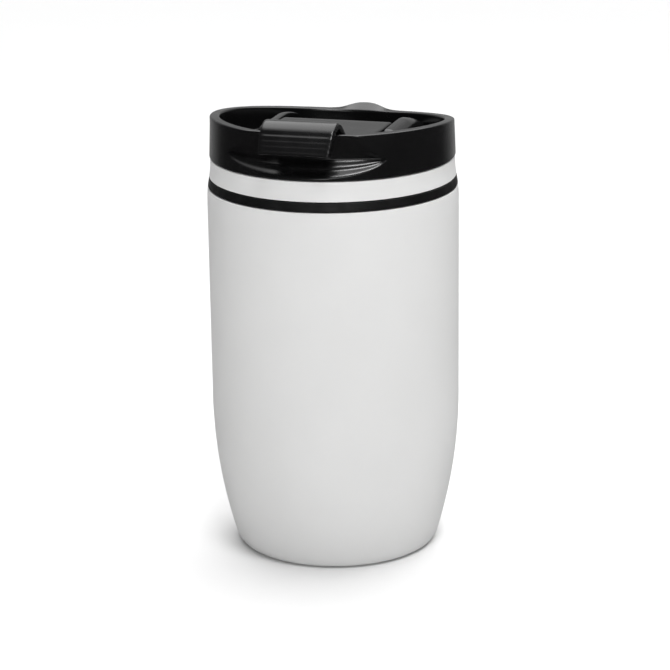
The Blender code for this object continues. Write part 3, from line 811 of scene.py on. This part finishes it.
def black_silicone():
    """Matt rubbery black with a powdery bloom."""
    base = (0.005, 0.005, 0.0053)
    s = Surface("black_silicone_rubber")
    bloom = s.remap(s.noise(160.0, 6.0, 0.65), 0.4, 0.8, 0.0, 0.5)
    s.set_colour(s.blend(bloom, base, (0.016, 0.016, 0.0165)))
    s.set_roughness(s.remap(s.noise(300.0, 4.0), 0.3, 0.7, 0.46, 0.62))
    s.set_bump(s.noise(1800.0, 3.0), 0.2, 0.00006)
    s.shader.inputs["Specular IOR Level"].default_value = 0.3
    return s.material


def milky_silicone():
    base = (0.66, 0.67, 0.66)
    s = Surface("milky_silicone_rubber")
    cloud = s.remap(s.noise(200.0, 4.0), 0.3, 0.7, 0.0, 1.0)
    s.set_colour(s.blend(cloud, shade(base, 0.93), shade(base, 1.05)))
    s.set_roughness(s.remap(s.noise(500.0, 3.0), 0.3, 0.7, 0.38, 0.52))
    s.set_bump(s.noise(1500.0, 2.0), 0.12, 0.00005)
    s.shader.inputs["Subsurface Weight"].default_value = 0.25
    s.shader.inputs["Subsurface Radius"].default_value = (0.002, 0.002, 0.0018)
    return s.material


def brushed_steel(name, scale):
    """Steel with fine lines along the direction that the noise is stretched in."""
    base = (0.61, 0.61, 0.62)
    s = Surface(name, metallic=1.0)
    lines = s.noise(1.0, 6.0, 0.6, s.stretched(scale))
    s.set_colour(s.blend(s.remap(lines, 0.3, 0.7, 0.0, 1.0), shade(base, 0.86), shade(base, 1.08)))
    s.set_roughness(s.remap(lines, 0.3, 0.7, 0.22, 0.38))
    s.set_bump(lines, 0.12, 0.00004)
    return s.material


def floor_paper():
    base = (0.93, 0.93, 0.93)
    s = Surface("studio_paper")
    mottle = s.remap(s.noise(3.0, 2.0), 0.3, 0.7, 0.0, 1.0)
    s.set_colour(s.blend(mottle, shade(base, 0.995), shade(base, 1.005)))
    s.set_roughness(s.remap(s.noise(40.0, 3.0), 0.3, 0.7, 0.75, 0.85))
    return s.material


# ------------------------------------------------------------------ pieces on the frame

def dress(piece, node, body, material):
    piece.data.materials.clear()
    piece.data.materials.append(material)
    weight_normals(piece)
    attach(piece, body)
    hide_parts(node)


def make_pieces():
    white = white_plastic()
    black = black_plastic()
    rubber = black_silicone()
    milky = milky_silicone()
    liner_steel = brushed_steel("drawn_steel", (14.0, 14.0, 2600.0))
    pin_steel = brushed_steel("ground_steel", (2200.0, 60.0, 60.0))
    dress(make_shell(), "outer_shell", "cup", white)
    dress(make_base_cap(), "base_cap", "cup", white)
    dress(make_base_pad(), "base_pad", "cup", rubber)
    dress(make_liner(), "liner", "cup", liner_steel)
    dress(make_collar(), "neck_collar", "cup", white)
    dress(make_trim_ring(), "trim_ring", "cup", rubber)
    seal = make_seal("tumbler_liner_gasket", LINER_SEAL_LOW, LINER_SEAL_HIGH, 2.2, 1)
    dress(seal, "liner_gasket", "cup", rubber)
    dress(make_lid(), "lid_shell", "lid", black)
    dress(make_insert(), "lid_insert", "lid", black)
    seal = make_seal("tumbler_insert_seal", INSERT_SEAL_LOW, INSERT_SEAL_HIGH, 1.5, 2)
    dress(seal, "insert_seal", "lid", rubber)
    dress(make_grommet(), "spout_grommet", "lid", rubber)
    dress(make_seal("tumbler_lid_gasket", GASKET_LOW, GASKET_HIGH, 2.7, 2), "lid_gasket", "seal",
          rubber)
    dress(make_pin(), "hinge_pin", "lid", pin_steel)
    dress(make_lever(), "flip_lever", "lever", black)
    dress(make_drink_stopper(), "drink_stopper", "lever", milky)
    dress(make_vent_stopper(), "vent_stopper", "lever", milky)


# ------------------------------------------------------------------ studio, in metres

CAMERA_TURN = math.radians(16.5)
CAMERA_DISTANCE = 0.820
CAMERA_HEIGHT = 0.3216
CAMERA_DIP = math.radians(16.93)
CAMERA_ROLL = -0.0137
CAMERA_LENS = 134.5
FLOOR_HALF = 6.0
LIGHT_AIM = Vector((0.0, 0.0, 0.09))


def seen_from_camera(right, away, up):
    """A place given to the camera's right, away from the camera and up, from the tumbler's axis."""
    turn = Matrix.Rotation(CAMERA_TURN, 3, "Z")
    return turn @ Vector((right, away, up))


def make_camera():
    data = bpy.data.cameras.new("camera")
    data.lens = CAMERA_LENS
    data.sensor_width = 36.0
    data.clip_start = 0.01
    data.clip_end = 20.0
    camera = add_object("camera", data)
    place = seen_from_camera(0.0, -CAMERA_DISTANCE, CAMERA_HEIGHT)
    aim = Matrix.Rotation(CAMERA_TURN, 4, "Z") @ Matrix.Rotation(math.pi / 2 - CAMERA_DIP, 4, "X")
    camera.matrix_world = Matrix.Translation(place) @ aim @ Matrix.Rotation(CAMERA_ROLL, 4, "Z")
    bpy.context.scene.camera = camera


def area_light(name, place, width, height, power):
    data = bpy.data.lights.new(name, "AREA")
    data.shape = "RECTANGLE"
    data.size = width
    data.size_y = height
    data.energy = power
    light = add_object(name, data)
    light.location = place
    light.rotation_euler = (LIGHT_AIM - place).to_track_quat("-Z", "Y").to_euler()


OVERHEAD_GLOW = 3.15
BACKDROP_GLOW = 0.38
AROUND_GLOW = 0.03
KEY_POWER = 3.8
STREAK_POWER = 5.0


def make_world():
    """A light tent: bright overhead and behind the tumbler, dark elsewhere, seen as plain white."""
    world = bpy.data.worlds.new("studio")
    bpy.context.scene.world = world
    world.use_nodes = True
    tree = world.node_tree
    sky = tree.nodes["Background"]
    sky.inputs["Color"].default_value = (1.0, 1.0, 1.0, 1.0)
    direction = tree.nodes.new("ShaderNodeTexCoord").outputs["Generated"]

    def ramp(axis, low, high, dark, bright):
        dot = tree.nodes.new("ShaderNodeVectorMath")
        dot.operation = "DOT_PRODUCT"
        dot.inputs[1].default_value = axis
        tree.links.new(direction, dot.inputs[0])
        return smooth_range(tree, dot.outputs["Value"], low, high, dark, bright)

    def brighter(first, second):
        node = tree.nodes.new("ShaderNodeMath")
        node.operation = "MAXIMUM"
        tree.links.new(first, node.inputs[0])
        tree.links.new(second, node.inputs[1])
        return node.outputs["Value"]

    overhead = seen_from_camera(0.13, 0.4, 1.0).normalized()
    backdrop = seen_from_camera(0.0, 1.0, 0.2).normalized()
    tent = brighter(ramp(overhead, 0.72, 0.92, 0.0, OVERHEAD_GLOW),
                    ramp(backdrop, 0.45, 0.90, AROUND_GLOW, BACKDROP_GLOW))
    camera_ray = tree.nodes.new("ShaderNodeLightPath").outputs["Is Camera Ray"]
    tree.links.new(brighter(tent, camera_ray), sky.inputs["Strength"])


def make_studio():
    bm = bmesh.new()
    corners = ((-FLOOR_HALF, -FLOOR_HALF), (FLOOR_HALF, -FLOOR_HALF), (FLOOR_HALF, FLOOR_HALF),
               (-FLOOR_HALF, FLOOR_HALF))
    bm.faces.new([bm.verts.new((x, y, 0.0)) for x, y in corners])
    mesh = bpy.data.meshes.new("floor")
    bm.to_mesh(mesh)
    bm.free()
    floor = add_object("floor", mesh)
    mesh.materials.append(floor_paper())
    floor.visible_glossy = False
    make_world()
    area_light("key", seen_from_camera(0.02, -1.15, 0.55), 0.7, 0.6, KEY_POWER)
    area_light("streak", seen_from_camera(0.12, -0.45, 1.20), 0.34, 0.20, STREAK_POWER)
    bpy.context.scene.view_settings.view_transform = "Standard"


make_pieces()
make_studio()
make_camera()
